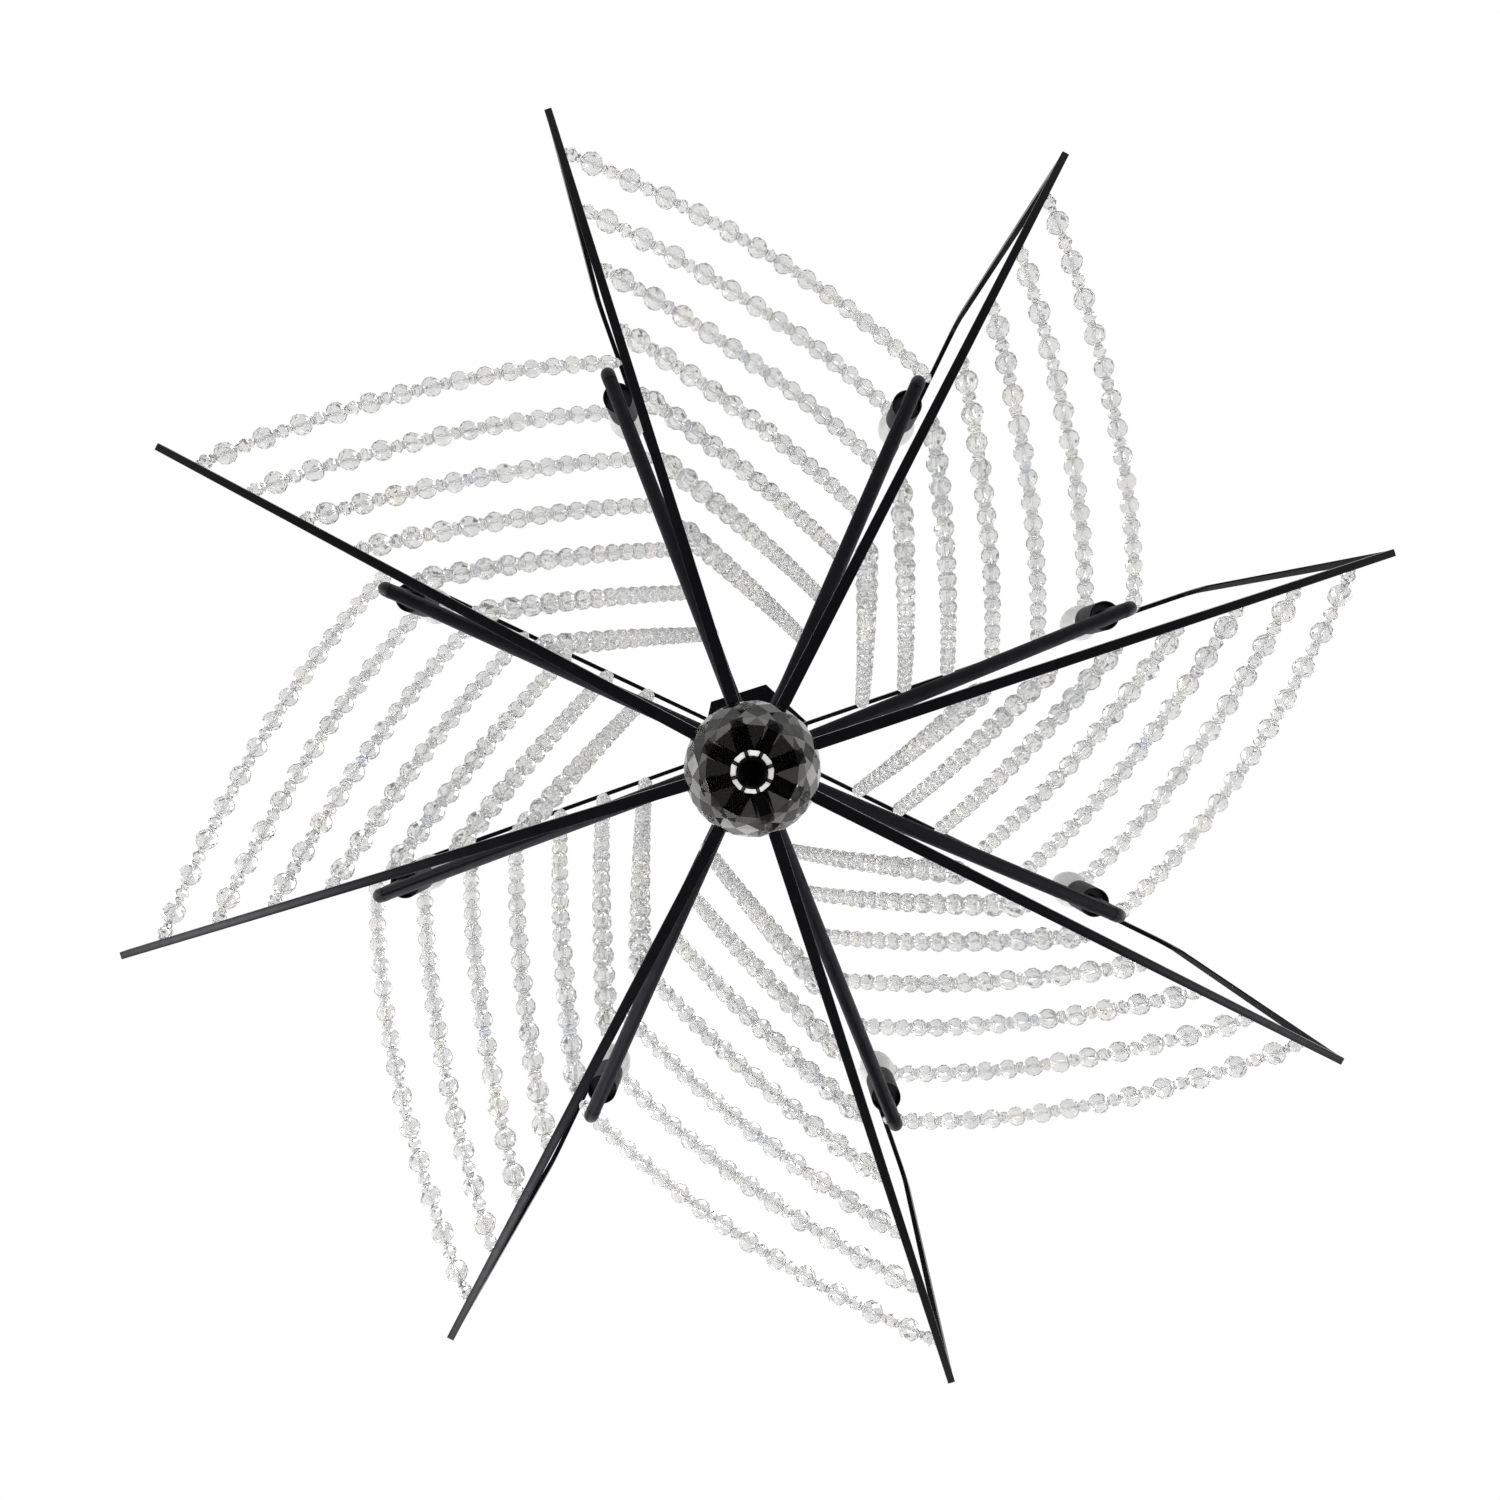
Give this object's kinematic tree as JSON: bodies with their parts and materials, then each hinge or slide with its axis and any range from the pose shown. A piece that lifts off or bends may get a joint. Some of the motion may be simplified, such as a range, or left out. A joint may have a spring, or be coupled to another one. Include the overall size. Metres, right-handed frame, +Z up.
{
  "type": "crystal bead chandelier",
  "caption": "Candle-lamp ceiling chandelier: flat black blades round a central column, curtains of faceted crystal beads between them, and a cut crystal ball below.",
  "frame": {"origin": "on the ceiling plane, midway between the crossbar's two screw holes, on the chandelier's axis", "axes": "+Z up into the ceiling along the axis, +X from the axis along the first blade and along the crossbar's screw line"},
  "size_m": [1.05, 1.05, 0.914],
  "materials": {
    "black_metal": "satin black paint on steel",
    "steel": "zinc plated",
    "clear_crystal": "clear faceted crystal",
    "smoky_crystal": "clear cut crystal that shows the dark frame through it",
    "bulb_glass": "frosted glass",
    "holder_plastic": "black phenolic",
    "insulation": "wire insulation"
  },
  "bodies": {
    "ceiling_fixing": {"crossbar": "steel", "nipple": "steel", "lock_nut": "steel", "canopy_loop": "black_metal"},
    "canopy_cup": {"canopy": "black_metal", "collar_ring": "black_metal"},
    "hanging_link": {"chain_link": "black_metal"},
    "chandelier_frame": {"fixture_loop": "black_metal", "roof_hub": "black_metal", "column": "black_metal", "arm_hub": "black_metal", "hub_cover": "black_metal", "lower_hub": "black_metal", "ball_cap": "black_metal", "ball_rod": "steel", "crystal_ball": "smoky_crystal", "finial": "black_metal", "lower_bar_1": "black_metal", "lower_bar_2": "black_metal", "lower_bar_3": "black_metal", "lower_bar_4": "black_metal", "lower_bar_5": "black_metal", "lower_bar_6": "black_metal", "lower_bar_7": "black_metal", "lower_bar_8": "black_metal", "upper_bar_1": "black_metal", "upper_bar_2": "black_metal", "upper_bar_3": "black_metal", "upper_bar_4": "black_metal", "upper_bar_5": "black_metal", "upper_bar_6": "black_metal", "upper_bar_7": "black_metal", "upper_bar_8": "black_metal", "lamp_arm_1": "black_metal", "lamp_arm_2": "black_metal", "lamp_arm_3": "black_metal", "lamp_arm_4": "black_metal", "lamp_arm_5": "black_metal", "lamp_arm_6": "black_metal", "lamp_arm_7": "black_metal", "lamp_arm_8": "black_metal", "bead_strands_1": "clear_crystal", "bead_strands_2": "clear_crystal", "bead_strands_3": "clear_crystal", "bead_strands_4": "clear_crystal", "bead_strands_5": "clear_crystal", "bead_strands_6": "clear_crystal", "bead_strands_7": "clear_crystal", "bead_strands_8": "clear_crystal", "wiring": "insulation", "lampholders": "holder_plastic", "candle_sleeves": "black_metal"},
    "lamp_bulb_1": {"bulb_1": "bulb_glass"},
    "lamp_bulb_2": {"bulb_2": "bulb_glass"},
    "lamp_bulb_3": {"bulb_3": "bulb_glass"},
    "lamp_bulb_4": {"bulb_4": "bulb_glass"},
    "lamp_bulb_5": {"bulb_5": "bulb_glass"},
    "lamp_bulb_6": {"bulb_6": "bulb_glass"},
    "lamp_bulb_7": {"bulb_7": "bulb_glass"},
    "lamp_bulb_8": {"bulb_8": "bulb_glass"}
  },
  "joints": [
    {"name": "canopy_drop", "type": "slide", "parent": "ceiling_fixing", "child": "canopy_cup", "axis": [0, 0, 1], "range_m": [-0.038, 0]},
    {"name": "link_swing", "type": "hinge", "parent": "ceiling_fixing", "child": "hanging_link", "pos_m": [0, 0, -0.059], "axis": [1, 0, 0], "range_deg": [-15, 15]},
    {"name": "frame_swing", "type": "hinge", "parent": "hanging_link", "child": "chandelier_frame", "pos_m": [0, 0, -0.0727], "axis": [0, 1, 0], "range_deg": [-15, 15]},
    {"name": "bulb_1_unscrew", "type": "slide", "parent": "chandelier_frame", "child": "lamp_bulb_1", "axis": [0, 0, 1], "range_m": [0, 0.03]},
    {"name": "bulb_2_unscrew", "type": "slide", "parent": "chandelier_frame", "child": "lamp_bulb_2", "axis": [0, 0, 1], "range_m": [0, 0.03]},
    {"name": "bulb_3_unscrew", "type": "slide", "parent": "chandelier_frame", "child": "lamp_bulb_3", "axis": [0, 0, 1], "range_m": [0, 0.03]},
    {"name": "bulb_4_unscrew", "type": "slide", "parent": "chandelier_frame", "child": "lamp_bulb_4", "axis": [0, 0, 1], "range_m": [0, 0.03]},
    {"name": "bulb_5_unscrew", "type": "slide", "parent": "chandelier_frame", "child": "lamp_bulb_5", "axis": [0, 0, 1], "range_m": [0, 0.03]},
    {"name": "bulb_6_unscrew", "type": "slide", "parent": "chandelier_frame", "child": "lamp_bulb_6", "axis": [0, 0, 1], "range_m": [0, 0.03]},
    {"name": "bulb_7_unscrew", "type": "slide", "parent": "chandelier_frame", "child": "lamp_bulb_7", "axis": [0, 0, 1], "range_m": [0, 0.03]},
    {"name": "bulb_8_unscrew", "type": "slide", "parent": "chandelier_frame", "child": "lamp_bulb_8", "axis": [0, 0, 1], "range_m": [0, 0.03]}
  ]
}
